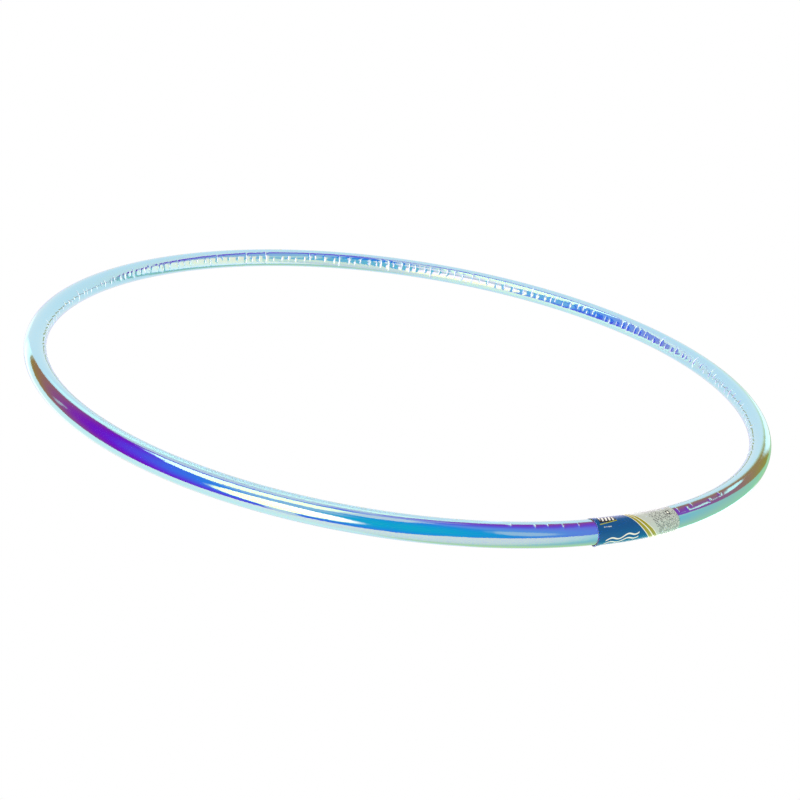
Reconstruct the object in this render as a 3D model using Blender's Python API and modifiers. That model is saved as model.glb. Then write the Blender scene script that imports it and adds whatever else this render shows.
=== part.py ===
"""A rhythmic gymnastics hoop: a plastic tube bent to a ring, with a film sleeve, a plugged and
stapled joint, and a label wrapped over the joint.

Metres, +Z up. The origin is the centre of the ring, which lies flat across Z.
"""

import math

import bmesh
import bpy
from mathutils import Matrix

RING_RADIUS = 0.350  # to the centre line of the tube
TUBE_RADIUS = 0.010  # over the film
FILM_THICKNESS = 0.0002
CLEARANCE = 0.0003  # between pieces that touch on the real hoop
CORE_WALL = 0.0013
CORE_RADIUS = TUBE_RADIUS - FILM_THICKNESS - CLEARANCE

JOINT_ANGLE = math.radians(-56)  # where the tube's two ends meet, from +X
JOINT_GAP = 0.002  # between the two ends, filled by the plug's collar

RING_STEPS = 108
TUBE_SIDES = 16
STEP_ANGLE = math.tau / RING_STEPS

LABEL_STEPS = 4  # of the ring's own steps, so that label and film bend alike: about 81 mm
LABEL_THICKNESS = 0.00025
LABEL_RADIUS = TUBE_RADIUS + CLEARANCE + LABEL_THICKNESS
LABEL_SEAM_SIDE = 9  # the side of the tube where the label's edges meet, counted from the top
LABEL_SEAM_GAP = 0.0006

PLUG_HALF_LENGTH = 0.035
PLUG_RADIUS = 0.0071
PLUG_BARB_RADIUS = 0.0076
PLUG_BORE_RADIUS = 0.0052
PLUG_COLLAR_RADIUS = 0.0092
PLUG_COLLAR_WIDTH = 0.0014
PLUG_BARBS = 3  # on each side of the collar
PLUG_BARB_PITCH = 0.009
PLUG_BARB_LENGTH = 0.003
PLUG_TIP_LENGTH = 0.003
PLUG_ROUNDNESS = 6  # bevel resolution

STAPLE_OFFSET = 0.016  # along the tube, from the joint to the middle of a staple
STAPLE_CROWN = 0.011
STAPLE_WIRE_RADIUS = 0.0004
STAPLE_CROWN_DEPTH = 0.00955  # from the tube's centre line to the crown
STAPLE_LEG_DEPTH = 0.0038  # from the tube's centre line to the leg's end
STAPLE_BEND_RADIUS = 0.0009
STAPLE_BEND_STEPS = 3
STAPLE_ROUNDNESS = 2  # bevel resolution

SEW_DISTANCE = 0.000005


def clear_scene():
    for obj in list(bpy.data.objects):
        bpy.data.objects.remove(obj)


def new_collection(name):
    collection = bpy.data.collections.new(name)
    bpy.context.scene.collection.children.link(collection)
    return collection


def new_material(name, color, roughness, metallic=0.0):
    material = bpy.data.materials.new(name)
    material.use_nodes = True
    shader = material.node_tree.nodes["Principled BSDF"]
    shader.inputs["Base Color"].default_value = (*color, 1.0)
    shader.inputs["Roughness"].default_value = roughness
    shader.inputs["Metallic"].default_value = metallic
    return material


def section_points(radius, sides):
    """A closed circle about the tube's centre line, from the top down the outer side."""
    angles = [i * math.tau / sides for i in range(sides)]
    return [(RING_RADIUS + radius * math.sin(a), 0.0, radius * math.cos(a)) for a in angles]


def split_section_points(radius, sides, seam_side, seam_gap):
    """The same circle, open at one side by seam_gap."""
    step = math.tau / sides
    angles = [(seam_side + i) * step for i in range(sides + 1)]
    half_gap = seam_gap / radius / 2
    angles[0] += half_gap
    angles[-1] -= half_gap
    return [(RING_RADIUS + radius * math.sin(a), 0.0, radius * math.cos(a)) for a in angles]


def swept_shell(name, points, closed, start, sweep, steps, wall, material, collection):
    """A section turned about Z from start through sweep, with its wall grown inwards."""
    mesh = bpy.data.meshes.new(name)
    edges = [(i, i + 1) for i in range(len(points) - 1)]
    if closed:
        edges.append((len(points) - 1, 0))
    mesh.from_pydata(points, edges, [])
    mesh.materials.append(material)
    shell = bpy.data.objects.new(name, mesh)
    shell.rotation_euler.z = start
    collection.objects.link(shell)

    screw = shell.modifiers.new("Sweep", "SCREW")
    screw.axis = "Z"
    screw.angle = sweep
    screw.steps = steps
    screw.render_steps = steps
    screw.use_smooth_shade = True

    solidify = shell.modifiers.new("Wall", "SOLIDIFY")
    solidify.thickness = wall
    solidify.offset = -1.0
    solidify.use_even_offset = True
    return shell


def round_bar(name, points, depth, roundness, scales=None):
    """A round bar through points, capped at both ends, with its thickness scaled at each point."""
    curve = bpy.data.curves.new(name, "CURVE")
    curve.dimensions = "3D"
    curve.bevel_depth = depth
    curve.bevel_resolution = roundness
    curve.use_fill_caps = True
    spline = curve.splines.new("POLY")
    spline.points.add(len(points) - 1)
    for i, point in enumerate(points):
        spline.points[i].co = (*point, 1.0)
        spline.points[i].radius = scales[i] if scales else 1.0
    return bpy.data.objects.new(name, curve)


def bar_to_mesh(bar, collection):
    """The bar as a mesh object with its caps sewn on, which a Boolean can use."""
    collection.objects.link(bar)
    bpy.context.view_layer.update()
    evaluated = bar.evaluated_get(bpy.context.evaluated_depsgraph_get())
    mesh = bpy.data.meshes.new_from_object(evaluated)
    place = bar.matrix_world.copy()
    name = bar.name
    bpy.data.objects.remove(bar)

    sewn = bmesh.new()
    sewn.from_mesh(mesh)
    bmesh.ops.remove_doubles(sewn, verts=sewn.verts, dist=SEW_DISTANCE)
    bmesh.ops.recalc_face_normals(sewn, faces=sewn.faces)
    sewn.to_mesh(mesh)
    sewn.free()

    solid = bpy.data.objects.new(name, mesh)
    solid.matrix_world = place
    collection.objects.link(solid)
    return solid


def as_cutter(obj):
    obj.hide_render = True
    obj.display_type = "WIRE"
    return obj


def cut(target, cutter):
    boolean = target.modifiers.new("Cut " + cutter.name, "BOOLEAN")
    boolean.operation = "DIFFERENCE"
    boolean.solver = "EXACT"
    boolean.object = cutter


def ring_shell(name, radius, wall, material, collection):
    """A tube bent round the whole ring, open at the joint."""
    gap_angle = JOINT_GAP / RING_RADIUS
    return swept_shell(
        name,
        section_points(radius, TUBE_SIDES),
        True,
        JOINT_ANGLE + gap_angle / 2,
        math.tau - gap_angle,
        RING_STEPS,
        wall,
        material,
        collection,
    )


def make_core_tube(collection):
    plastic = new_material("white_tube_plastic", (0.82, 0.83, 0.82), 0.4)
    return ring_shell("core_tube", CORE_RADIUS, CORE_WALL, plastic, collection)


def make_film_sleeve(collection):
    film = new_material("iridescent_film", (0.24, 0.55, 0.80), 0.12, 0.6)
    return ring_shell("film_sleeve", TUBE_RADIUS, FILM_THICKNESS, film, collection)


def make_label_wrap(collection):
    print_stock = new_material("label_print", (0.03, 0.20, 0.42), 0.35)
    span = LABEL_STEPS * STEP_ANGLE
    return swept_shell(
        "label_wrap",
        split_section_points(LABEL_RADIUS, TUBE_SIDES, LABEL_SEAM_SIDE, LABEL_SEAM_GAP),
        False,
        JOINT_ANGLE - span / 2,
        span,
        LABEL_STEPS,
        LABEL_THICKNESS,
        print_stock,
        collection,
    )


def plug_outline():
    """(distance along the tube from the joint, radius) down one side of the plug."""
    outline = [
        (PLUG_COLLAR_WIDTH / 2 - SEW_DISTANCE * 4, PLUG_COLLAR_RADIUS),
        (PLUG_COLLAR_WIDTH / 2, PLUG_RADIUS),
    ]
    first_barb = PLUG_HALF_LENGTH - PLUG_TIP_LENGTH - PLUG_BARBS * PLUG_BARB_PITCH
    for i in range(PLUG_BARBS):
        shoulder = first_barb + i * PLUG_BARB_PITCH
        outline.append((shoulder, PLUG_RADIUS))
        outline.append((shoulder + SEW_DISTANCE * 4, PLUG_BARB_RADIUS))
        outline.append((shoulder + PLUG_BARB_LENGTH, PLUG_RADIUS))
    outline.append((PLUG_HALF_LENGTH - PLUG_TIP_LENGTH, PLUG_RADIUS))
    outline.append((PLUG_HALF_LENGTH, PLUG_RADIUS - PLUG_TIP_LENGTH / 4))
    return outline


def along_ring(distance):
    """The point on the tube's centre line that far from the joint."""
    angle = JOINT_ANGLE + distance / RING_RADIUS
    return (RING_RADIUS * math.cos(angle), RING_RADIUS * math.sin(angle), 0.0)


def make_joint_plug(collection, cutters):
    side = plug_outline()
    outline = [(-distance, radius) for distance, radius in reversed(side)] + side
    points = [along_ring(distance) for distance, _ in outline]
    scales = [radius / PLUG_RADIUS for _, radius in outline]
    plug = bar_to_mesh(
        round_bar("joint_plug", points, PLUG_RADIUS, PLUG_ROUNDNESS, scales), collection
    )
    plug.data.materials.append(new_material("plug_plastic", (0.09, 0.09, 0.10), 0.5))

    bore_steps = 8
    reach = PLUG_HALF_LENGTH * 1.1
    bore_points = [along_ring(reach * (2 * i / bore_steps - 1)) for i in range(bore_steps + 1)]
    bore = round_bar("plug_bore", bore_points, PLUG_BORE_RADIUS, PLUG_ROUNDNESS)
    cut(plug, as_cutter(bar_to_mesh(bore, cutters)))
    return plug


def staple_points():
    """The wire's path: X runs inwards to the ring's centre, Y along the tube."""
    corner_x = STAPLE_CROWN_DEPTH - STAPLE_BEND_RADIUS
    corner_y = STAPLE_CROWN / 2 - STAPLE_BEND_RADIUS
    half = [(STAPLE_LEG_DEPTH, STAPLE_CROWN / 2, 0.0)]
    for i in range(STAPLE_BEND_STEPS + 1):
        turn = math.pi / 2 * i / STAPLE_BEND_STEPS
        half.append(
            (
                corner_x + STAPLE_BEND_RADIUS * math.sin(turn),
                corner_y + STAPLE_BEND_RADIUS * math.cos(turn),
                0.0,
            )
        )
    return half + [(x, -y, z) for x, y, z in reversed(half)]


def staple_bar(name, offset, wire_radius):
    """A staple whose middle is offset along the tube from the joint, on the ring's inner side."""
    angle = JOINT_ANGLE + offset / RING_RADIUS
    bar = round_bar(name, staple_points(), wire_radius, STAPLE_ROUNDNESS)
    bar.matrix_world = (
        Matrix.Rotation(angle, 4, "Z")
        @ Matrix.Translation((RING_RADIUS, 0.0, 0.0))
        @ Matrix.Rotation(math.pi, 4, "Z")
    )
    return bar


def make_staple(name, offset, collection, cutters, drilled):
    steel = new_material(name + "_steel", (0.55, 0.55, 0.56), 0.35, 1.0)
    staple = staple_bar(name, offset, STAPLE_WIRE_RADIUS)
    staple.data.materials.append(steel)
    collection.objects.link(staple)
    hole = staple_bar(name + "_hole", offset, STAPLE_WIRE_RADIUS + CLEARANCE)
    cutter = as_cutter(bar_to_mesh(hole, cutters))
    for piece in drilled:
        cut(piece, cutter)
    return staple


def main():
    clear_scene()
    collection = new_collection("rhythmic_hoop")
    cutters = new_collection("cutters")
    core = make_core_tube(collection)
    film = make_film_sleeve(collection)
    plug = make_joint_plug(collection, cutters)
    make_label_wrap(collection)
    for name, offset in (("staple_left", -STAPLE_OFFSET), ("staple_right", STAPLE_OFFSET)):
        make_staple(name, offset, collection, cutters, (core, film, plug))


main()
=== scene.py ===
import math
import random

import bmesh
import bpy
from mathutils import Matrix, Vector


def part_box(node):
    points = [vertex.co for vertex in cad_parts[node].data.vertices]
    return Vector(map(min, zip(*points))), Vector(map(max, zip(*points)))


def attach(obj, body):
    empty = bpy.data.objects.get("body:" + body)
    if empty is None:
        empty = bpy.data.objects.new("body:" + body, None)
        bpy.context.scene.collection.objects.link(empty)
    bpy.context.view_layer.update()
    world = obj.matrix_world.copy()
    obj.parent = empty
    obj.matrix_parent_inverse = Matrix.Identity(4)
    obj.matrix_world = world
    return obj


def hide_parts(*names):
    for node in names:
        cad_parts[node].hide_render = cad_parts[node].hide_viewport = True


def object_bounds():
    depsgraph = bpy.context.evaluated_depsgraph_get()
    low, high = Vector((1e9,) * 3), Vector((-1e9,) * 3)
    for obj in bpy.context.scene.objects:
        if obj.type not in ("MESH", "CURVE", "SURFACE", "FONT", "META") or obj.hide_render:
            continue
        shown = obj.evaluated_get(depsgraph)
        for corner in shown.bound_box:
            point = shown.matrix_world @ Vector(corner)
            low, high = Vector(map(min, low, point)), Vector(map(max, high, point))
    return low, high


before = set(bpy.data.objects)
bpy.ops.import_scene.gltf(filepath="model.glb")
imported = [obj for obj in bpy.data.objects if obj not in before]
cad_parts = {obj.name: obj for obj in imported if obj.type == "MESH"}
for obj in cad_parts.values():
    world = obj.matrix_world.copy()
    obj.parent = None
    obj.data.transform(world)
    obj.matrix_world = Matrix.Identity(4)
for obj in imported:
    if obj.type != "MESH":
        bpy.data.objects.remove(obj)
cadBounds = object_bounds()
sleeveLow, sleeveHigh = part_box("film_sleeve")
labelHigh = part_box("label_wrap")[1]

ring = {
    "tubeRadius": sleeveHigh[2],  # over the film
    "centreRadius": round((sleeveHigh[0] - sleeveLow[0]) / 2 - sleeveHigh[2], 3),
    "jointAngle": math.radians(-56),  # the label's middle, from +X
    "jointGap": 0.002,
}
print("hoop: frame loaded, ring radius", ring["centreRadius"], "tube radius", round(ring["tubeRadius"], 5))


def addNode(tree, kind, **settings):
    node = tree.nodes.new(kind)
    for name, value in settings.items():
        setattr(node, name, value)
    return node


def plug(tree, socket, value):
    if value is None:
        return
    if isinstance(value, bpy.types.NodeSocket):
        tree.links.new(value, socket)
    else:
        socket.default_value = value


def calc(tree, operation, first, second=None, third=None, clamp=False):
    node = addNode(tree, "ShaderNodeMath", operation=operation, use_clamp=clamp)
    for socket, value in zip(node.inputs, (first, second, third)):
        plug(tree, socket, value)
    return node.outputs[0]


def vectorCalc(tree, operation, first, second=None, scale=None):
    node = addNode(tree, "ShaderNodeVectorMath", operation=operation)
    plug(tree, node.inputs[0], first)
    plug(tree, node.inputs[1], second)
    if scale is not None:
        plug(tree, node.inputs["Scale"], scale)
    return node.outputs["Value" if operation in ("LENGTH", "DOT_PRODUCT", "DISTANCE") else "Vector"]


def ramp(tree, value, start, end, low=0.0, high=1.0, smooth=True):
    node = addNode(tree, "ShaderNodeMapRange", clamp=True)
    node.interpolation_type = "SMOOTHSTEP" if smooth else "LINEAR"
    for socket, item in zip(node.inputs, (value, start, end, low, high)):
        plug(tree, socket, item)
    return node.outputs[0]


def within(tree, value, start, end, soft):
    rise = ramp(tree, calc(tree, "SUBTRACT", value, start), -soft, soft)
    fall = ramp(tree, calc(tree, "SUBTRACT", end, value), -soft, soft)
    return calc(tree, "MULTIPLY", rise, fall)


def blendColor(tree, factor, first, second):
    node = addNode(tree, "ShaderNodeMix", data_type="RGBA")
    plug(tree, node.inputs["Factor"], factor)
    plug(tree, node.inputs["A"], first if isinstance(first, bpy.types.NodeSocket) else (*first, 1.0))
    plug(tree, node.inputs["B"], second if isinstance(second, bpy.types.NodeSocket) else (*second, 1.0))
    return node.outputs["Result"]


def blendValue(tree, factor, first, second):
    node = addNode(tree, "ShaderNodeMix", data_type="FLOAT")
    plug(tree, node.inputs["Factor"], factor)
    plug(tree, node.inputs["A"], first)
    plug(tree, node.inputs["B"], second)
    return node.outputs["Result"]


def combine(tree, x, y):
    node = addNode(tree, "ShaderNodeCombineXYZ")
    plug(tree, node.inputs[0], x)
    plug(tree, node.inputs[1], y)
    return node.outputs[0]


def noise(tree, vector, scale, detail=2.0, roughness=0.5):
    node = addNode(tree, "ShaderNodeTexNoise")
    plug(tree, node.inputs["Vector"], vector)
    node.inputs["Scale"].default_value = scale
    node.inputs["Detail"].default_value = detail
    node.inputs["Roughness"].default_value = roughness
    return node.outputs["Fac"]


def curve(tree, value, points, low, high, start=-180.0, end=180.0):
    node = addNode(tree, "ShaderNodeFloatCurve")
    line = node.mapping.curves[0]
    scaled = [((x - start) / (end - start), (y - low) / (high - low)) for x, y in points]
    while len(line.points) < len(scaled):
        line.points.new(0.5, 0.5)
    for point, place in zip(line.points, scaled):
        point.location = place
        point.handle_type = "VECTOR"
    node.mapping.update()
    plug(tree, node.inputs["Value"], ramp(tree, value, start, end, smooth=False))
    return calc(tree, "MULTIPLY_ADD", node.outputs["Value"], high - low, low)


def newMaterial(name):
    material = bpy.data.materials.new(name)
    material.use_nodes = True
    tree = material.node_tree
    return material, tree, tree.nodes["Principled BSDF"]


cameraView = {
    "lens": 58.0,
    "sensor": 36.0,
    "elevation": math.radians(21.45),
    "roll": math.radians(-8.72),
    "aside": 0.0078,  # the last three in ring radii
    "above": 0.102,
    "distance": 3.639,
}


def placeCamera():
    rise, roll = cameraView["elevation"], cameraView["roll"]
    right = Vector((1, 0, 0))
    up = Vector((0, math.sin(rise), math.cos(rise)))
    back = Vector((0, -math.cos(rise), math.sin(rise)))
    turnedRight = right * math.cos(roll) - up * math.sin(roll)
    turnedUp = right * math.sin(roll) + up * math.cos(roll)
    place = back * cameraView["distance"] - turnedRight * cameraView["aside"] - turnedUp * cameraView["above"]
    data = bpy.data.cameras.new("studioCamera")
    data.lens = cameraView["lens"]
    data.sensor_width = cameraView["sensor"]
    data.clip_start = 0.01
    camera = bpy.data.objects.new("studioCamera", data)
    matrix = Matrix((turnedRight, turnedUp, back)).transposed().to_4x4()
    matrix.translation = place * ring["centreRadius"]
    camera.matrix_world = matrix
    bpy.context.scene.collection.objects.link(camera)
    bpy.context.scene.camera = camera


placeCamera()
bpy.context.scene.view_settings.view_transform = "Standard"
print("hoop: camera placed")


studio = {
    "mirrorShare": 0.28,  # of the film, so mirrored light is raised by its inverse
    "background": 1.0,
    "paperLeft": (1.02, 0.86, 0.88),
    "paperRight": (0.78, 0.67, 0.50),
    "paperSide": (0.42, 0.62, 0.35),
    "farPaper": (0.82, 0.75, 0.88),
    "sky": (0.62, 0.58, 0.62),
    "overhead": (1.4, 1.6, 4.0),
    "highPaper": (1.1, 0.98, 1.02),
    "shade": (0.01, 0.50, 0.41),
    # the dark opening between the papers, as elevations against azimuth in degrees: 0 is towards the viewer
    "openingSoft": (2.5, 9.0),  # of its edge, in front and behind
    "openingLow": [(-180, 34), (-155, 32), (-150, 30), (-145, 22), (-135, 9), (-120, -5), (-105, -14), (-90, -24),
                   (-80, -31), (-60, -37), (-20, -38), (0, -30), (10, -24), (20, -10), (30, -3), (45, 2),
                   (60, 6), (80, 24), (95, 28), (105, 25), (120, 13), (130, 2), (138, -6), (146, -4), (154, 16),
                   (165, 30), (180, 40)],
    "openingHigh": [(-180, 26), (-155, 28), (-150, 32), (-145, 38), (-140, 43), (-130, 48), (-115, 52), (-90, 50),
                    (-75, 47), (-60, 46), (-50, 48), (-30, 56), (-15, 62), (0, 66), (10, 70), (20, 74), (40, 80),
                    (100, 83), (130, 83), (145, 80), (155, 74), (165, 58), (172, 30), (180, 26)],
    "openingGlow": [(-180, 0.0), (36, 0.0), (56, 0.1), (90, 0.1), (110, 0.05), (150, 0.04), (180, 0.0)],
    # azimuth, elevation, width and height of soft patches in degrees, and their glow
    "patches": [(-147, -10, 14, 26, 1.7), (147, -33, 13, 9, 1.7), (151, 4, 8, 12, 1.15), (45, 34, 9, 17, 0.36),
                (139, 28, 10, 2.4, 1.0), (120, 33, 10, 2.6, 0.8), (-108, 11, 3, 7, 0.35), (-34, 47, 24, 14, 0.28),
                (-28, -30, 5, 15, 0.6), (174, 74, 26, 9, 0.25), (-172, 76, 20, 8, 0.42)],
    "patchEdge": (1.3, 0.7),  # where a patch ends and where it is full, in its own half sizes
    # where one paper turns into the next, in degrees round or up
    "leftToRight": (-70, 50),
    "rightToSide": (40, 75),
    "frontToBack": (150, 168),
    "paperToSky": (24, 44),
    "softToBack": (136, 150),
    # bands as low end, high end and softness, in degrees
    "highPaperUp": (28, 62, 6),
    "shadeAcross": (66, 140, 12),
    "shadeUp": (-62, 24, 10),
    "overheadAcross": (-128, -26, 10),
    "overheadUp": (50, 82, 3),
    # the dark edge of the overhead box is a bent line on the ceiling: where it turns, its two slopes and its width
    "ceilingEdge": (-0.22, 2.1, 5.0, 0.11),
    "ceilingEdgeColor": (0.06, 0.08, 0.08),
    "ceilingEdgeFrom": (44, 50),
    "ceilingSoft": 0.02,
    "ceilingLow": 0.3,  # the least rise of a direction that the line is worked out for
    # light for the matt side of each finish
    "diffusePaper": (1.45, 1.15, 0.90),
    "diffuseLeft": (1.2, 1.08, 1.25),
    "diffuseRight": (1.1, 1.05, 0.84),
    "diffuseTurn": (-10, 60),
    "roomUp": (-42, -28),
    "roomAround": (150, 120),
}


def oval(tree, azimuth, elevation, patch):
    aside = calc(tree, "DIVIDE", calc(tree, "SUBTRACT", azimuth, patch[0]), patch[2])
    above = calc(tree, "DIVIDE", calc(tree, "SUBTRACT", elevation, patch[1]), patch[3])
    squares = calc(tree, "ADD", calc(tree, "MULTIPLY", aside, aside), calc(tree, "MULTIPLY", above, above))
    return ramp(tree, calc(tree, "SQRT", squares), *studio["patchEdge"])


def paperGlow(tree, azimuth, elevation):
    back = ramp(tree, calc(tree, "ABSOLUTE", azimuth), *studio["frontToBack"])
    glow = blendColor(tree, ramp(tree, azimuth, *studio["leftToRight"]), studio["paperLeft"], studio["paperRight"])
    glow = blendColor(tree, ramp(tree, azimuth, *studio["rightToSide"]), glow, studio["paperSide"])
    glow = blendColor(tree, back, glow, studio["farPaper"])
    glow = blendColor(tree, ramp(tree, elevation, *studio["paperToSky"]), glow, studio["sky"])
    bright = calc(tree, "MULTIPLY", back, within(tree, elevation, *studio["highPaperUp"]))
    glow = blendColor(tree, bright, glow, studio["highPaper"])
    across = within(tree, azimuth, *studio["shadeAcross"])
    shade = calc(tree, "MULTIPLY", across, within(tree, elevation, *studio["shadeUp"]))
    return blendColor(tree, shade, glow, studio["shade"])


def overheadGlow(tree, azimuth, elevation, direction, glow):
    x, y, z = direction
    turnAt, leftBend, rightBend, width = studio["ceilingEdge"]
    height = calc(tree, "MAXIMUM", z, studio["ceilingLow"])
    aside = calc(tree, "SUBTRACT", calc(tree, "DIVIDE", x, height), turnAt)
    bend = blendValue(tree, calc(tree, "GREATER_THAN", aside, 0.0), leftBend, rightBend)
    line = calc(tree, "MULTIPLY", calc(tree, "MULTIPLY", aside, aside), bend)
    past = calc(tree, "SUBTRACT", calc(tree, "DIVIDE", y, height), line)
    slope = calc(tree, "MULTIPLY", calc(tree, "MULTIPLY", aside, bend), 2.0)
    past = calc(tree, "DIVIDE", past, calc(tree, "SQRT", calc(tree, "MULTIPLY_ADD", slope, slope, 1.0)))
    across = within(tree, azimuth, *studio["overheadAcross"])
    lit = calc(tree, "MULTIPLY", across, within(tree, elevation, *studio["overheadUp"]))
    lit = calc(tree, "MULTIPLY", lit, ramp(tree, past, studio["ceilingSoft"], -studio["ceilingSoft"]))
    glow = blendColor(tree, lit, glow, studio["overhead"])
    edge = ramp(tree, calc(tree, "ABSOLUTE", past), width, width / 3)
    edge = calc(tree, "MULTIPLY", edge, ramp(tree, elevation, *studio["ceilingEdgeFrom"]))
    return blendColor(tree, edge, glow, studio["ceilingEdgeColor"])


def roomOpening(tree, azimuth, elevation, glow):
    low = curve(tree, azimuth, studio["openingLow"], -90, 90)
    high = curve(tree, azimuth, studio["openingHigh"], -90, 90)
    dim = curve(tree, azimuth, studio["openingGlow"], 0, 1)
    soft = blendValue(tree, ramp(tree, azimuth, *studio["softToBack"]), *studio["openingSoft"])
    over = ramp(tree, calc(tree, "DIVIDE", calc(tree, "SUBTRACT", elevation, low), soft), -1, 1)
    under = ramp(tree, calc(tree, "DIVIDE", calc(tree, "SUBTRACT", high, elevation), soft), -1, 1)
    dark = addNode(tree, "ShaderNodeCombineColor")
    for socket in dark.inputs[:3]:
        tree.links.new(dim, socket)
    return blendColor(tree, calc(tree, "MULTIPLY", over, under), glow, dark.outputs[0])


def mattLight(tree, azimuth, elevation):
    around = ramp(tree, calc(tree, "ABSOLUTE", azimuth), *studio["roomAround"])
    room = calc(tree, "MULTIPLY", ramp(tree, elevation, *studio["roomUp"]), around)
    side = ramp(tree, azimuth, *studio["diffuseTurn"])
    matt = blendColor(tree, side, studio["diffuseLeft"], studio["diffuseRight"])
    return blendColor(tree, room, studio["diffusePaper"], matt)


def buildStudio():
    world = bpy.data.worlds.new("whiteStudio")
    bpy.context.scene.world = world
    world.use_nodes = True
    world.cycles.sampling_method = "NONE"
    tree = world.node_tree
    ground = tree.nodes["Background"]
    toward = addNode(tree, "ShaderNodeTexCoord").outputs["Generated"]
    parts = addNode(tree, "ShaderNodeSeparateXYZ")
    tree.links.new(toward, parts.inputs[0])
    x, y, z = parts.outputs
    elevation = calc(tree, "DEGREES", calc(tree, "ARCSINE", z))
    azimuth = calc(tree, "DEGREES", calc(tree, "ARCTAN2", x, calc(tree, "MULTIPLY", y, -1.0)))

    glow = paperGlow(tree, azimuth, elevation)
    glow = overheadGlow(tree, azimuth, elevation, (x, y, z), glow)
    glow = roomOpening(tree, azimuth, elevation, glow)
    for patch in studio["patches"]:
        glow = blendColor(tree, oval(tree, azimuth, elevation, patch), glow, (patch[4],) * 3)
    mirrored = vectorCalc(tree, "SCALE", glow, scale=1 / studio["mirrorShare"])

    matt = mattLight(tree, azimuth, elevation)
    light = addNode(tree, "ShaderNodeLightPath")
    color = blendColor(tree, light.outputs["Is Glossy Ray"], matt, mirrored)
    color = blendColor(tree, light.outputs["Is Camera Ray"], color, (studio["background"],) * 3)
    tree.links.new(color, ground.inputs["Color"])


buildStudio()


shortRay = 0.1  # a card fades out for mirrored rays shorter than this, so none shows a cut where it meets the tube

# corner 2 makes an oval card and a high number a square one; fade is where its edge starts to soften;
# share is how much of what is behind it the card covers; within keeps it to the inner side of the ring
cards = {
    "backCard": {"size": (0.685, 0.80), "place": (-0.245, 0.58, 0.17), "aim": (0, -1, 0), "glow": (0.82, 0.74, 0.88),
                 "corner": 12, "fade": 0.86, "share": 1.0},
    "cornerGlow": {"size": (0.13, 0.24), "place": (-0.76, 0.57, -0.12), "aim": (0, -1, 0), "glow": (1.25, 1.15, 1.2),
                   "corner": 2, "fade": 0.5, "share": 1.0},
    "topGlow": {"size": (0.26, 0.34), "place": (-0.54, 0.575, 0.72), "aim": (0, -1, 0), "glow": (1.1, 0.98, 1.02),
                "corner": 4, "fade": 0.7, "share": 1.0},
    "overheadBox": {"size": (0.80, 0.53), "place": (-1.05, -0.88, 1.7), "aim": (0, 0, -1), "glow": (1.4, 1.6, 5.0),
                    "corner": 5, "fade": 0.8, "share": 1.0},
    "leftBox": {"size": (0.76, 0.82), "place": (-0.73, -1.76, 0.22), "aim": (0.47, 0.88, 0), "glow": (2.2, 2.5, 8.0),
                "corner": 2, "fade": 0.66, "share": 1.0},
    "lowStrip": {"size": (0.15, 0.34), "place": (-0.12, -0.15, -0.18), "aim": (0, 1, 0), "glow": (1.5, 1.35, 6.0),
                 "corner": 6, "fade": 0.75, "share": 1.0},
    "middleStrip": {"size": (0.14, 0.22), "place": (-0.125, -0.152, 0.26), "aim": (0, 1, 0), "glow": (0.70, 0.56, 0.55),
                    "corner": 6, "fade": 0.75, "share": 1.0},
    "highStrip": {"size": (0.23, 0.30), "place": (-0.10, -0.15, 0.60), "aim": (0, 1, 0), "glow": (1.0, 0.92, 4.0),
                  "corner": 6, "fade": 0.7, "share": 0.9},
    "haze": {"size": (0.80, 0.62), "place": (0.0, -0.18, 0.12), "aim": (0, 1, 0), "glow": (0.85, 1.3, 1.0),
             "corner": 6, "fade": 0.7, "share": 0.2},
    "sideStrip": {"size": (0.16, 0.45), "place": (0.12, 0.25, -0.15), "aim": (-1, 0, 0), "glow": (1.15, 0.92, 1.4),
                  "corner": 6, "fade": 0.75, "share": 1.0, "within": True},
    "sideHaze": {"size": (0.20, 0.42), "place": (0.125, 0.25, 0.46), "aim": (-1, 0, 0), "glow": (0.9, 1.2, 1.0),
                 "corner": 6, "fade": 0.8, "share": 0.25, "within": True},
    "farHaze": {"size": (0.06, 0.50), "place": (-0.002, 0.25, -0.02), "aim": (1, 0, 0), "glow": (0.8, 1.3, 1.0),
                "corner": 6, "fade": 0.7, "share": 0.2, "within": True},
    "farStrip": {"size": (0.085, 0.45), "place": (0.0, 0.37, -0.15), "aim": (1, 0, 0), "glow": (0.95, 0.74, 0.74),
                 "corner": 6, "fade": 0.9, "share": 1.0, "within": True},
}


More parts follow.
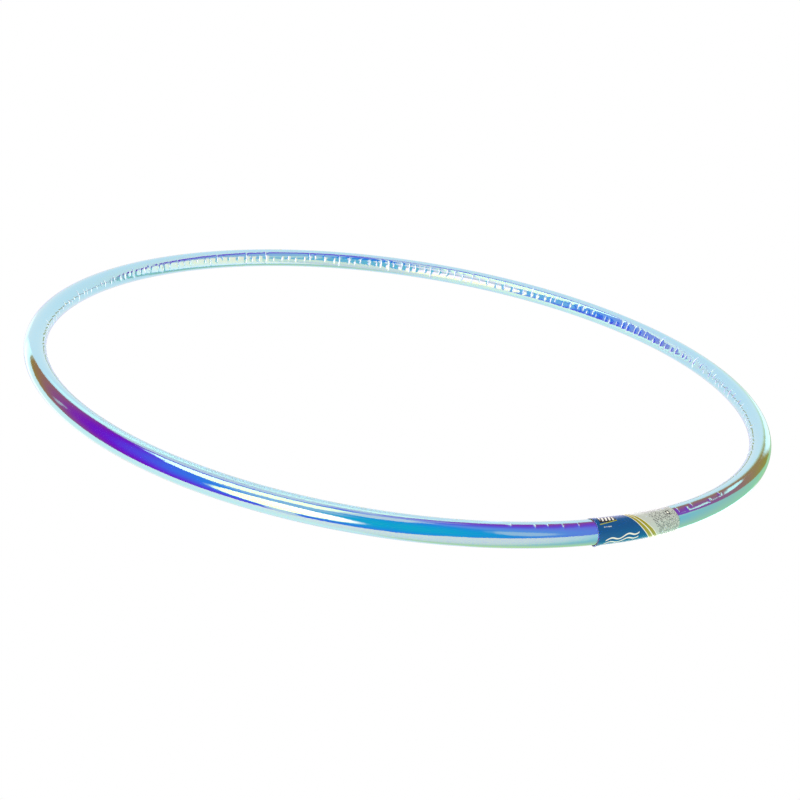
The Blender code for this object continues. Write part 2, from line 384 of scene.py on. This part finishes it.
def standCard(name, card):
    mesh = bpy.data.meshes.new(name)
    work = bmesh.new()
    bmesh.ops.create_grid(work, x_segments=2, y_segments=2, size=1.0)
    bmesh.ops.scale(work, verts=work.verts, vec=(*card["size"], 1))
    facing = Vector(card["aim"]).to_track_quat("Z", "Y").to_matrix()
    bmesh.ops.rotate(work, verts=work.verts, cent=(0, 0, 0), matrix=facing)
    bmesh.ops.translate(work, verts=work.verts, vec=card["place"])
    work.to_mesh(mesh)
    work.free()
    obj = bpy.data.objects.new(name, mesh)
    bpy.context.scene.collection.objects.link(obj)
    material, tree, shader = newMaterial(name)
    tree.nodes.remove(shader)
    glow = addNode(tree, "ShaderNodeEmission")
    glow.inputs["Color"].default_value = (*card["glow"], 1)
    glow.inputs["Strength"].default_value = 1 / studio["mirrorShare"]
    place = addNode(tree, "ShaderNodeTexCoord").outputs["Object"]
    offset = vectorCalc(tree, "SUBTRACT", place, card["place"])
    reach = 0.0
    for size, axis in zip(card["size"], (facing.col[0], facing.col[1])):
        along = calc(tree, "ABSOLUTE", calc(tree, "DIVIDE", vectorCalc(tree, "DOT_PRODUCT", offset, tuple(axis)), size))
        reach = calc(tree, "ADD", reach, calc(tree, "POWER", along, card["corner"]))
    reach = calc(tree, "POWER", reach, 1 / card["corner"])
    front = calc(tree, "SUBTRACT", 1.0, addNode(tree, "ShaderNodeNewGeometry").outputs["Backfacing"])
    ray = addNode(tree, "ShaderNodeLightPath").outputs["Ray Length"]
    front = calc(tree, "MULTIPLY", front, ramp(tree, ray, 0.0, shortRay))
    if card.get("within"):
        across = vectorCalc(tree, "LENGTH", vectorCalc(tree, "MULTIPLY", place, (1, 1, 0)))
        front = calc(tree, "MULTIPLY", front, calc(tree, "LESS_THAN", across, ring["centreRadius"]))
    cover = ramp(tree, reach, 1.0, card["fade"], 0.0, card["share"])
    mix = addNode(tree, "ShaderNodeMixShader")
    tree.links.new(calc(tree, "MULTIPLY", cover, front), mix.inputs[0])
    tree.links.new(addNode(tree, "ShaderNodeBsdfTransparent").outputs[0], mix.inputs[1])
    tree.links.new(glow.outputs[0], mix.inputs[2])
    tree.links.new(mix.outputs[0], tree.nodes["Material Output"].inputs["Surface"])
    mesh.materials.append(material)
    material.cycles.emission_sampling = "NONE"
    obj.visible_camera = False
    obj.visible_diffuse = False
    obj.visible_shadow = False


for cardName, card in cards.items():
    standCard(cardName, card)


floorSheet = {"size": 3.0, "drop": 0.0006}


def layFloor():
    mesh = bpy.data.meshes.new("floorPaper")
    work = bmesh.new()
    bmesh.ops.create_grid(work, x_segments=6, y_segments=6, size=floorSheet["size"])
    bmesh.ops.translate(work, verts=work.verts, vec=(0, 0, cadBounds[0][2] - floorSheet["drop"]))
    work.to_mesh(mesh)
    work.free()
    floor = bpy.data.objects.new("floorPaper", mesh)
    bpy.context.scene.collection.objects.link(floor)
    material, tree, shader = newMaterial("floorPaper")
    material.cycles.emission_sampling = "NONE"
    tree.nodes.remove(shader)
    glow = addNode(tree, "ShaderNodeEmission")
    glow.inputs["Strength"].default_value = studio["background"]
    see = addNode(tree, "ShaderNodeBsdfTransparent")
    mix = addNode(tree, "ShaderNodeMixShader")
    side = addNode(tree, "ShaderNodeNewGeometry")
    tree.links.new(side.outputs["Backfacing"], mix.inputs[0])
    tree.links.new(glow.outputs[0], mix.inputs[1])
    tree.links.new(see.outputs[0], mix.inputs[2])
    tree.links.new(mix.outputs[0], tree.nodes["Material Output"].inputs["Surface"])
    mesh.materials.append(material)
    floor.visible_glossy = False
    floor.visible_diffuse = False
    floor.visible_shadow = False


layFloor()
print("hoop: studio ready")


film = {
    "sides": 48,
    "plainStep": 0.0045,
    "foldSteps": 6,
    "spacing": (0.0055, 0.0135),
    "halfWidth": (0.0007, 0.0012),
    "height": (0.00012, 0.00042),
    "arc": (14, 30),  # degrees to each side of a fold's middle
    "centre": (152, 176),  # degrees round the tube from its outermost line, over the top
    "longFolds": 0.18,  # share of folds that reach twice as far
    "teeth": 0.6,  # share of the folds near the label that also nick the outer face
    "teethRun": 0.12,
    "toothCentre": (62, 78),
    "toothArc": 8,
    "skew": 0.0005,
    "innerSteps": 216,
    "thickness": 0.0002,
    "clearOfLabel": 0.044,
    "foldRound": 0.6,  # below 1 a fold keeps its height further towards its ends
    "path": 943.0,  # optical path in nanometres, head on
    "index": 1.40,
    "depth": 0.988,
    "waves": (627.0, 533.0, 447.0),
    "mirrorTint": (0.72, 0.98, 1.0),
    "passTint": (0.356, 0.859, 0.861),
    "sheen": (3.5, 0.7),  # power and height of the pale reflection towards the outline
    "sheenTint": (0.74, 0.90, 1.0),
    "passFade": (0.97, 0.76),  # the light from under the film dies away towards the outline
    # noise scale and how far it moves the optical path
    "pathWander": (3.0, 30.0),
    "pathRipple": (45.0, 16.0),
    # a creased film scatters and its fold crests are whitened, partly as stress-whitening and partly as a painted
    # highlight standing in for the glints along the folds: from which lift on, and the two colours it takes
    "frostAndGlint": (0.35, 0.95),
    "frostGlintPassed": (0.92, 0.95, 0.96),
    "frostGlintMirrored": (0.9, 0.95, 1.0),
    "waviness": 70.0,
    "waveStrength": 0.5,
    "waveDepth": 0.0002,
    "mirrorRoughness": 0.06,
    "backRoughness": 0.7,
}


def planFolds():
    draw = random.Random(41)
    radius = ring["centreRadius"]
    whole = math.tau - ring["jointGap"] / radius
    place = film["clearOfLabel"] / radius
    folds = []
    while place < whole - film["clearOfLabel"] / radius:
        spots = [(
            math.radians(draw.uniform(*film["centre"])),
            math.radians(draw.uniform(*film["arc"])) * (2 if draw.random() < film["longFolds"] else 1),
            draw.uniform(*film["height"]),
        )]
        if min(place, whole - place) * radius < film["teethRun"] and draw.random() < film["teeth"]:
            tooth = math.radians(draw.uniform(*film["toothCentre"]))
            spots.append((tooth, math.radians(film["toothArc"]), film["height"][1]))
        folds.append({
            "place": place,
            "halfWidth": draw.uniform(*film["halfWidth"]) / radius,
            "spots": spots,
            "skew": draw.uniform(-1, 1) * film["skew"] / radius,
        })
        place += draw.uniform(*film["spacing"]) / radius
    return whole, folds


def planStations(whole, folds):
    stations = [(0.0, None, 0.0)]  # angle along the ring, the fold it lies in, and how far across it from -1 to 1
    for fold in folds + [None]:
        reach = (fold["place"] - fold["halfWidth"] if fold else whole) - stations[-1][0]
        steps = max(1, math.ceil(reach * ring["centreRadius"] / film["plainStep"]))
        last = stations[-1][0]
        for i in range(1, steps + 1):
            stations.append((last + reach * i / steps, fold, -1.0 if fold and i == steps else 9.0))
        if fold:
            for i in range(1, film["foldSteps"] + 1):
                across = 2 * i / film["foldSteps"] - 1
                stations.append((fold["place"] + fold["halfWidth"] * across, fold, across))
    return stations


def rollSheet(work, stations, radius, mark=None):
    count = len(stations) - 1
    made = bmesh.ops.create_grid(work, x_segments=count, y_segments=film["sides"], size=1.0)
    start = ring["jointAngle"] + ring["jointGap"] / 2 / ring["centreRadius"]
    for vert in made["verts"]:
        turn, fold, across = stations[round((vert.co.x + 1) / 2 * count)]
        side = round((vert.co.y + 1) / 2 * film["sides"]) % film["sides"]
        section = math.tau * side / film["sides"]
        reach, lift = radius, 0.0
        if fold and abs(across) < 1:
            for centre, arc, height in fold["spots"]:
                away = (section - centre + math.pi) % math.tau - math.pi
                if abs(away) < arc:
                    fade = math.cos(away / arc * math.pi / 2)
                    lift = fade ** film["foldRound"] * (0.5 + 0.5 * math.cos(across * math.pi))
                    turn += fold["skew"] * away * fade * (1 - across * across)
                    reach += height * lift
        angle = start + turn
        out = ring["centreRadius"] + reach * math.cos(section)
        vert.co = (out * math.cos(angle), out * math.sin(angle), reach * math.sin(section))
        if mark:
            vert[mark] = lift
    bmesh.ops.remove_doubles(work, verts=made["verts"], dist=1e-7)  # the sheet's two long edges


def makeFilmSleeve():
    whole, folds = planFolds()
    work = bmesh.new()
    mark = work.verts.layers.float.new("fold")
    rollSheet(work, planStations(whole, folds), ring["tubeRadius"], mark)
    plain = [(whole * i / film["innerSteps"], None, 9.0) for i in range(film["innerSteps"] + 1)]
    rollSheet(work, plain, ring["tubeRadius"] - film["thickness"])
    gapMiddle = Vector((math.cos(ring["jointAngle"]), math.sin(ring["jointAngle"]), 0))
    rims = [edge for edge in work.edges if edge.is_boundary]
    for sign in (-1, 1):
        side = [edge for edge in rims if gapMiddle.cross(edge.verts[0].co).z * sign > 0]
        bmesh.ops.bridge_loops(work, edges=side)
    bmesh.ops.recalc_face_normals(work, faces=work.faces)
    for face in work.faces:
        face.smooth = True
    mesh = bpy.data.meshes.new("filmSleeve")
    work.to_mesh(mesh)
    work.free()
    sleeve = bpy.data.objects.new("filmSleeve", mesh)
    bpy.context.scene.collection.objects.link(sleeve)
    print("hoop: film sleeve with", len(folds), "folds,", sum(len(p.vertices) - 2 for p in mesh.polygons), "triangles")
    return sleeve


def interferenceGroup():
    group = bpy.data.node_groups.new("filmInterference", "ShaderNodeTree")
    face = group.interface
    face.new_socket("Facing", in_out="INPUT", socket_type="NodeSocketFloat")
    face.new_socket("Path", in_out="INPUT", socket_type="NodeSocketFloat")
    face.new_socket("Mirrored", in_out="OUTPUT", socket_type="NodeSocketColor")
    face.new_socket("Passed", in_out="OUTPUT", socket_type="NodeSocketColor")
    entry = addNode(group, "NodeGroupInput")
    leave = addNode(group, "NodeGroupOutput")
    facing, path = entry.outputs["Facing"], entry.outputs["Path"]
    straight = calc(group, "SUBTRACT", 1.0, facing)
    sine = calc(group, "SUBTRACT", 1.0, calc(group, "MULTIPLY", straight, straight))
    inside = calc(group, "SQRT", calc(group, "SUBTRACT", 1.0, calc(group, "DIVIDE", sine, film["index"] ** 2)))
    length = calc(group, "MULTIPLY", path, inside)
    phases = vectorCalc(group, "SCALE", tuple(math.pi / wave for wave in film["waves"]), scale=length)
    sines = vectorCalc(group, "SINE", phases)
    share = vectorCalc(group, "SCALE", vectorCalc(group, "MULTIPLY", sines, sines), scale=film["depth"])
    mirrored = vectorCalc(group, "MULTIPLY", share, film["mirrorTint"])
    sheen = calc(group, "MULTIPLY", calc(group, "POWER", facing, film["sheen"][0]), film["sheen"][1])
    mirrored = blendColor(group, sheen, mirrored, film["sheenTint"])
    passed = vectorCalc(group, "MULTIPLY", vectorCalc(group, "SUBTRACT", (1, 1, 1), share), film["passTint"])
    fade = calc(group, "MULTIPLY_ADD", calc(group, "MULTIPLY", facing, facing), -1.5, calc(group, "ADD", facing, 1.0))
    fade = calc(group, "MULTIPLY", calc(group, "MAXIMUM", fade, 0.0), ramp(group, facing, *film["passFade"]))
    group.links.new(mirrored, leave.inputs["Mirrored"])
    group.links.new(vectorCalc(group, "SCALE", passed, scale=fade), leave.inputs["Passed"])
    return group


def filmMaterial():
    material, tree, backing = newMaterial("iridescentFilm")
    place = addNode(tree, "ShaderNodeTexCoord").outputs["Object"]
    facing = addNode(tree, "ShaderNodeLayerWeight")
    facing.inputs["Blend"].default_value = 0.5
    path = film["path"]
    for (scale, reach), detail in ((film["pathWander"], 1.0), (film["pathRipple"], 2.0)):
        wander = calc(tree, "SUBTRACT", noise(tree, place, scale, detail), 0.5)
        path = calc(tree, "MULTIPLY_ADD", wander, reach, path)
    group = addNode(tree, "ShaderNodeGroup")
    group.node_tree = interferenceGroup()
    tree.links.new(facing.outputs["Facing"], group.inputs["Facing"])
    tree.links.new(path, group.inputs["Path"])

    fold = addNode(tree, "ShaderNodeAttribute", attribute_name="fold").outputs["Fac"]
    # painted highlight: the fold crests turn pale in both the diffuse and the mirrored colour, standing in for glints
    # along the folds as well as for the film's stress-whitening
    frostAndGlint = ramp(tree, fold, *film["frostAndGlint"])
    passed = blendColor(tree, frostAndGlint, group.outputs["Passed"], film["frostGlintPassed"])
    mirrored = blendColor(tree, frostAndGlint, group.outputs["Mirrored"], film["frostGlintMirrored"])

    wave = noise(tree, place, film["waviness"], 1.0)
    bump = addNode(tree, "ShaderNodeBump")
    bump.inputs["Strength"].default_value = film["waveStrength"]
    bump.inputs["Distance"].default_value = film["waveDepth"]
    tree.links.new(wave, bump.inputs["Height"])

    tree.links.new(passed, backing.inputs["Base Color"])
    backing.inputs["Roughness"].default_value = film["backRoughness"]
    backing.inputs["Specular IOR Level"].default_value = 0.0
    mirror = addNode(tree, "ShaderNodeBsdfPrincipled")
    tree.links.new(mirrored, mirror.inputs["Base Color"])
    mirror.inputs["Metallic"].default_value = 1.0
    mirror.inputs["Roughness"].default_value = film["mirrorRoughness"]
    tree.links.new(bump.outputs["Normal"], mirror.inputs["Normal"])
    mix = addNode(tree, "ShaderNodeMixShader")
    mix.inputs[0].default_value = studio["mirrorShare"]
    tree.links.new(backing.outputs[0], mix.inputs[1])
    tree.links.new(mirror.outputs[0], mix.inputs[2])
    tree.links.new(mix.outputs[0], tree.nodes["Material Output"].inputs["Surface"])
    return material


sleeve = makeFilmSleeve()
sleeve.data.materials.append(filmMaterial())
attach(sleeve, "root")
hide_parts("film_sleeve")


label = {
    "radius": labelHigh[2] - 0.00005,
    "thickness": 0.00016,
    "steps": (60, 72),
    "wrap": 10.5,  # millimetres of label height for one radian round the tube
    "seamSide": -112.5,  # degrees round the tube from its outermost line, and below it where negative
    "overlap": 4.0,  # millimetres
    "overlapRise": 0.00024,
    "overlapRun": 5.0,
    # height on the label and distance along the ring, in millimetres
    "leftEdge": [(-21, -35.5), (-12, -37.2), (-2.4, -38.3), (7.9, -39.2), (20, -39.6), (50, -39.6)],
    "rightEdge": [(-21, 34), (-13, 38), (-8, 41), (-3.1, 42.5), (2.7, 42.5), (13.9, 40.5), (20, 39.6), (50, 39.6)],
    "curls": [(-38, 17.5, 7.0, 0.0006), (-37, -13, 6.0, 0.0014)],  # place, reach and lift of two loose corners
    "curlOffset": 0.2,
    "textScale": 100.0,
}


def between(value, points):
    for (x0, y0), (x1, y1) in zip(points, points[1:]):
        if value <= x1:
            share = max(0.0, (value - x0) / (x1 - x0))
            return y0 + (y1 - y0) * share * share * (3 - 2 * share)
    return points[-1][1]


def makeLabelWrap():
    full = math.tau * label["wrap"]
    bottom = math.radians(label["seamSide"]) * label["wrap"]
    height = full + label["overlap"]
    work = bmesh.new()
    uvLayer = work.loops.layers.uv.new("print")
    made = bmesh.ops.create_grid(work, x_segments=label["steps"][0], y_segments=label["steps"][1], size=0.5)
    for vert in made["verts"]:
        up = bottom + height * (vert.co.y + 0.5)
        left, right = between(up, label["leftEdge"]), between(up, label["rightEdge"])
        vert.co = (left + (right - left) * (vert.co.x + 0.5), up, 0)
    for face in work.faces:
        for loop in face.loops:
            loop[uvLayer].uv = (loop.vert.co.x / label["textScale"] + 0.5, loop.vert.co.y / label["textScale"] + 0.5)
    for vert in work.verts:
        along, up, _ = vert.co
        run = (up - bottom - full + label["overlapRun"]) / label["overlapRun"]
        reach = label["radius"] + label["overlapRise"] * min(1.0, max(0.0, run))
        for x, y, size, lift in label["curls"]:
            near = max(0.0, 1 - math.hypot(along - x - size * label["curlOffset"], up - y) / size)
            reach += lift * near * near * (1.0 if along < x + size else 0.0)
        section = up / label["wrap"]
        angle = ring["jointAngle"] + along / 1000 / ring["centreRadius"]
        out = ring["centreRadius"] + reach * math.cos(section)
        vert.co = (out * math.cos(angle), out * math.sin(angle), reach * math.sin(section))
    work.normal_update()
    middle = Vector((math.cos(ring["jointAngle"]), math.sin(ring["jointAngle"]), 0))
    outermost = max(work.faces, key=lambda face: face.calc_center_median().dot(middle))
    if outermost.normal.dot(middle) < 0:
        bmesh.ops.reverse_faces(work, faces=work.faces)
    for face in work.faces:
        face.smooth = True
    mesh = bpy.data.meshes.new("labelWrap")
    work.to_mesh(mesh)
    work.free()
    wrap = bpy.data.objects.new("labelWrap", mesh)
    bpy.context.scene.collection.objects.link(wrap)
    wall = wrap.modifiers.new("paperThickness", "SOLIDIFY")
    wall.thickness = label["thickness"]
    wall.offset = -1
    wall.use_even_offset = False
    wall.material_offset_rim = 1
    wall.material_offset = 1
    return wrap


# every place and size on the print is in millimetres: u runs along the ring and v round the tube
printing = {
    "blue": (0.0, 0.075, 0.235),
    "olive": (0.31, 0.295, 0.022),
    "white": (0.76, 0.83, 0.73),
    "silver": (0.45, 0.535, 0.485),
    "dark": (0.012, 0.014, 0.02),
    "ink": (0.07, 0.075, 0.085),
    "underline": (0.33, 0.37, 0.03),
    "silverMottle": (900.0, 1.12),  # noise scale and how much paler it turns
    "blueMottle": (60.0, 1.1),
    "edge": 0.09,  # softness of a printed edge
    "boundary": (5.4, -0.97, 0.012),  # where the blue ends at v = 0, its slope and its bend above that
    "stripes": [(0.0, 0.8, "white"), (0.8, 4.4, "olive"), (4.4, 5.5, "white"),
                (5.5, 9.0, "olive"), (9.0, 9.7, "white")],
    "narrowing": (22, 2, 0.55),  # the stripes close up towards the top
    # rows of small marks that stand for printed lines and spell nothing
    "rowSlant": 0.13,
    "rowHeight": 1.25,
    "rowEdge": (0.16, 0.24),
    "markLength": 0.62,
    "markGaps": 0.42,
    "marksFrom": (19.0, -0.55, 0.5),  # where they start at v = 0, the slope of that and its softness
    "marksTop": (19.5, 18.5),
    "inkShare": 0.75,
    # crossed rings between the rows
    "signSize": 4.2,
    "signRing": (1.45, 0.30, 0.14),
    "signBar": (0.4, 0.2),
    "signInside": (1.2, 1.0),
    "signGaps": 0.62,
    "signsFrom": (26.5, 27.0),
    "square": (30.8, 34.4, 10.5, 14.1),
    "dot": (32.6, 12.3, 1.2, 1.0),
    # the badge: its place, the room inside its edges, and the bars' slant, spacing and edge
    "badge": (-35.5, -19.5, 12.6, 20.0),
    "badgeInset": (1.2, 1.6, 1.4, 1.0),
    "bars": (-0.35, 1.6, 0.75, 0.95),
    "underlineRise": (0.146, 16.4),
    "underlineBand": (-0.5, 0.3, -36.3, -19.2),
    "smallMarks": (-33.5, -26.5, 8.2, 9.0),
    "smallGaps": 0.35,
    "smallShare": 0.6,
    "waveLine": (-0.3, 0.13),
    "wave": (1.2, 15.5, 0.6, 1.9),  # two ripples: height, period, half stroke and half the distance between them
    "waveRun": (-31.5, -0.8),
    "fibre": (260.0, 0.2, 0.8, 0.3, 0.42),  # noise scale, its range and the roughness it gives
    "cockle": (130.0, 0.25, 0.0003),
    "specular": 0.2,
}


def box(tree, u, v, low, high, bottom, top):
    edge = printing["edge"]
    return calc(tree, "MULTIPLY", within(tree, u, low, high, edge), within(tree, v, bottom, top, edge))


def mottled(tree, place, color, mottle, detail):
    scale, paler = mottle
    return blendColor(tree, noise(tree, place, scale, detail), color, tuple(c * paler for c in color))


def drawFromCells(tree, across, up):
    cell = combine(tree, calc(tree, "FLOOR", across), calc(tree, "FLOOR", up))
    draw = addNode(tree, "ShaderNodeTexWhiteNoise", noise_dimensions="2D")
    tree.links.new(cell, draw.inputs["Vector"])
    return draw.outputs["Value"]


def markRows(tree, along, tilted):
    row = calc(tree, "DIVIDE", tilted, printing["rowHeight"])
    rowInk = ramp(tree, calc(tree, "PINGPONG", row, 0.5), *printing["rowEdge"])
    draw = drawFromCells(tree, calc(tree, "DIVIDE", along, printing["markLength"]), row)
    return calc(tree, "MULTIPLY", rowInk, calc(tree, "GREATER_THAN", draw, printing["markGaps"])), draw


def crossedRings(tree, along, tilted):
    size = printing["signSize"]
    across, up = calc(tree, "DIVIDE", along, size), calc(tree, "DIVIDE", tilted, size)
    draw = drawFromCells(tree, across, up)
    x, y = (calc(tree, "MULTIPLY_ADD", calc(tree, "FRACT", item), size, -size / 2) for item in (across, up))
    reach = calc(tree, "SQRT", calc(tree, "ADD", calc(tree, "MULTIPLY", x, x), calc(tree, "MULTIPLY", y, y)))
    radius, outer, inner = printing["signRing"]
    sign = ramp(tree, calc(tree, "ABSOLUTE", calc(tree, "SUBTRACT", reach, radius)), outer, inner)
    bar = ramp(tree, calc(tree, "ABSOLUTE", calc(tree, "ADD", x, y)), *printing["signBar"])
    bar = calc(tree, "MULTIPLY", bar, ramp(tree, reach, *printing["signInside"]))
    return calc(tree, "MAXIMUM", sign, bar), calc(tree, "GREATER_THAN", draw, printing["signGaps"])


def silverPrint(tree, u, v, place, marks, along, tilted):
    start, slope, soft = printing["marksFrom"]
    zone = ramp(tree, calc(tree, "SUBTRACT", u, calc(tree, "MULTIPLY_ADD", v, slope, start)), -soft, soft)
    zone = calc(tree, "MULTIPLY", zone, ramp(tree, v, *printing["marksTop"]))
    sign, chosen = crossedRings(tree, along, tilted)
    chosen = calc(tree, "MULTIPLY", chosen, ramp(tree, u, *printing["signsFrom"]))
    ink = blendValue(tree, chosen, marks, sign)
    ink = calc(tree, "MULTIPLY", calc(tree, "MULTIPLY", ink, zone), printing["inkShare"])
    color = mottled(tree, place, printing["silver"], printing["silverMottle"], 3.0)
    color = blendColor(tree, ink, color, printing["ink"])
    color = blendColor(tree, box(tree, u, v, *printing["square"]), color, printing["dark"])
    x, y, outer, inner = printing["dot"]
    dot = vectorCalc(tree, "DISTANCE", combine(tree, u, v), (x, y, 0))
    return blendColor(tree, ramp(tree, dot, outer, inner), color, printing["white"])


def ripples(tree, u, v):
    height, period, stroke, spread = printing["wave"]
    start, slope = printing["waveLine"]
    edge = printing["edge"]
    turn = calc(tree, "MULTIPLY", u, math.tau / period)
    line = calc(tree, "MULTIPLY_ADD", calc(tree, "SINE", turn), height, calc(tree, "MULTIPLY_ADD", u, slope, start))
    steep = calc(tree, "MULTIPLY", calc(tree, "COSINE", turn), height * math.tau / period)
    steep = calc(tree, "SQRT", calc(tree, "MULTIPLY_ADD", steep, steep, 1.0))
    away = calc(tree, "ABSOLUTE", calc(tree, "SUBTRACT", v, line))
    away = calc(tree, "DIVIDE", calc(tree, "ABSOLUTE", calc(tree, "SUBTRACT", away, spread)), steep)
    run = within(tree, u, *printing["waveRun"], edge)
    return calc(tree, "MULTIPLY", ramp(tree, away, stroke + edge, stroke - edge), run)


def bluePrint(tree, u, v, place, draw):
    edge = printing["edge"]
    blue = mottled(tree, place, printing["blue"], printing["blueMottle"], 3.0)
    slant, spacing, barEdge, barFull = printing["bars"]
    low, high, bottom, top = printing["badge"]
    left, right, below, above = printing["badgeInset"]
    bars = calc(tree, "PINGPONG", calc(tree, "MULTIPLY_ADD", v, slant, u), spacing)
    bars = ramp(tree, bars, barEdge, barFull)
    bars = calc(tree, "MULTIPLY", bars, box(tree, u, v, low + left, high - right, bottom + below, top - above))
    badge = blendColor(tree, bars, printing["dark"], printing["white"])
    blue = blendColor(tree, box(tree, u, v, *printing["badge"]), blue, badge)
    under = calc(tree, "SUBTRACT", v, calc(tree, "MULTIPLY_ADD", u, *printing["underlineRise"]))
    bottom, top, low, high = printing["underlineBand"]
    under = calc(tree, "MULTIPLY", within(tree, under, bottom, top, edge), within(tree, u, low, high, edge))
    blue = blendColor(tree, under, blue, printing["underline"])
    small = calc(tree, "GREATER_THAN", draw, printing["smallGaps"])
    small = calc(tree, "MULTIPLY", small, box(tree, u, v, *printing["smallMarks"]))
    blue = blendColor(tree, calc(tree, "MULTIPLY", small, printing["smallShare"]), blue, printing["white"])
    return blendColor(tree, ripples(tree, u, v), blue, printing["white"])


def labelMaterial():
    material, tree, shader = newMaterial("labelPrint")
    uv = addNode(tree, "ShaderNodeUVMap", uv_map="print")
    parts = addNode(tree, "ShaderNodeSeparateXYZ")
    tree.links.new(uv.outputs[0], parts.inputs[0])
    scale, edge = label["textScale"], printing["edge"]
    u, v = (calc(tree, "MULTIPLY_ADD", part, scale, -scale / 2) for part in parts.outputs[:2])
    place = addNode(tree, "ShaderNodeTexCoord").outputs["Object"]
    tilted = calc(tree, "MULTIPLY_ADD", u, -printing["rowSlant"], v)
    along = calc(tree, "MULTIPLY_ADD", v, printing["rowSlant"], u)
    marks, draw = markRows(tree, along, tilted)
    color = silverPrint(tree, u, v, place, marks, along, tilted)

    start, slope, bend = printing["boundary"]
    upper = calc(tree, "MAXIMUM", v, 0.0)
    bound = calc(tree, "MULTIPLY_ADD", v, slope, start)
    bound = calc(tree, "MULTIPLY_ADD", calc(tree, "MULTIPLY", upper, upper), bend, bound)
    past = calc(tree, "SUBTRACT", u, bound)
    band = calc(tree, "DIVIDE", past, ramp(tree, v, *printing["narrowing"], 1.0, smooth=False))
    for low, high, name in printing["stripes"]:
        color = blendColor(tree, within(tree, band, low, high, edge), color, printing[name])
    blue = bluePrint(tree, u, v, place, draw)
    color = blendColor(tree, ramp(tree, past, edge, -edge), color, blue)

    scale, low, high, smooth, rough = printing["fibre"]
    fibre = noise(tree, place, scale, 4.0, 0.6)
    scale, strength, depth = printing["cockle"]
    bump = addNode(tree, "ShaderNodeBump")
    bump.inputs["Strength"].default_value = strength
    bump.inputs["Distance"].default_value = depth
    tree.links.new(noise(tree, place, scale, 2.0), bump.inputs["Height"])
    tree.links.new(color, shader.inputs["Base Color"])
    tree.links.new(ramp(tree, fibre, low, high, smooth, rough), shader.inputs["Roughness"])
    tree.links.new(bump.outputs["Normal"], shader.inputs["Normal"])
    shader.inputs["Specular IOR Level"].default_value = printing["specular"]
    return material


def grainMaterial(name, finish):
    material, tree, shader = newMaterial(name)
    place = addNode(tree, "ShaderNodeTexCoord").outputs["Object"]
    broad = noise(tree, place, finish["broad"], 3.0)
    fine = noise(tree, place, finish["fine"], 4.0, 0.65)
    tree.links.new(blendColor(tree, broad, finish["color"], finish["worn"]), shader.inputs["Base Color"])
    tree.links.new(ramp(tree, fine, 0.25, 0.75, *finish["roughness"]), shader.inputs["Roughness"])
    bump = addNode(tree, "ShaderNodeBump")
    bump.inputs["Strength"].default_value = finish["bump"]
    bump.inputs["Distance"].default_value = finish["depth"]
    tree.links.new(fine, bump.inputs["Height"])
    tree.links.new(bump.outputs["Normal"], shader.inputs["Normal"])
    shader.inputs["Metallic"].default_value = finish.get("metallic", 0.0)
    shader.inputs["Specular IOR Level"].default_value = finish.get("specular", 0.5)
    return material


finishes = {
    "paperBack": {"color": (0.55, 0.57, 0.58), "worn": (0.68, 0.69, 0.69), "broad": 120.0, "fine": 900.0,
                  "roughness": (0.55, 0.8), "bump": 0.3, "depth": 0.00005, "specular": 0.2},
    "whiteTubing": {"color": (0.78, 0.80, 0.82), "worn": (0.70, 0.73, 0.76), "broad": 14.0, "fine": 420.0,
                    "roughness": (0.30, 0.46), "bump": 0.2, "depth": 0.0001},
    "darkPlug": {"color": (0.045, 0.047, 0.052), "worn": (0.085, 0.088, 0.095), "broad": 90.0, "fine": 1400.0,
                 "roughness": (0.38, 0.58), "bump": 0.35, "depth": 0.00005},
    "drawnWire": {"color": (0.56, 0.56, 0.58), "worn": (0.40, 0.40, 0.42), "broad": 700.0, "fine": 3200.0,
                  "roughness": (0.22, 0.42), "bump": 0.25, "depth": 0.00002, "metallic": 1.0},
}

wrap = makeLabelWrap()
wrap.data.materials.append(labelMaterial())
wrap.data.materials.append(grainMaterial("paperBack", finishes["paperBack"]))
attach(wrap, "root")
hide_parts("label_wrap")
print("hoop: label wrapped over the joint")

tubing = grainMaterial("whiteTubing", finishes["whiteTubing"])
plugging = grainMaterial("darkPlug", finishes["darkPlug"])
wire = grainMaterial("drawnWire", finishes["drawnWire"])
nodeFinishes = {"core_tube": tubing, "joint_plug": plugging, "staple_left": wire, "staple_right": wire}
for nodeName, material in nodeFinishes.items():
    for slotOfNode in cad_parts[nodeName].material_slots:
        slotOfNode.material = material
print("hoop: tube, plug and staples finished")
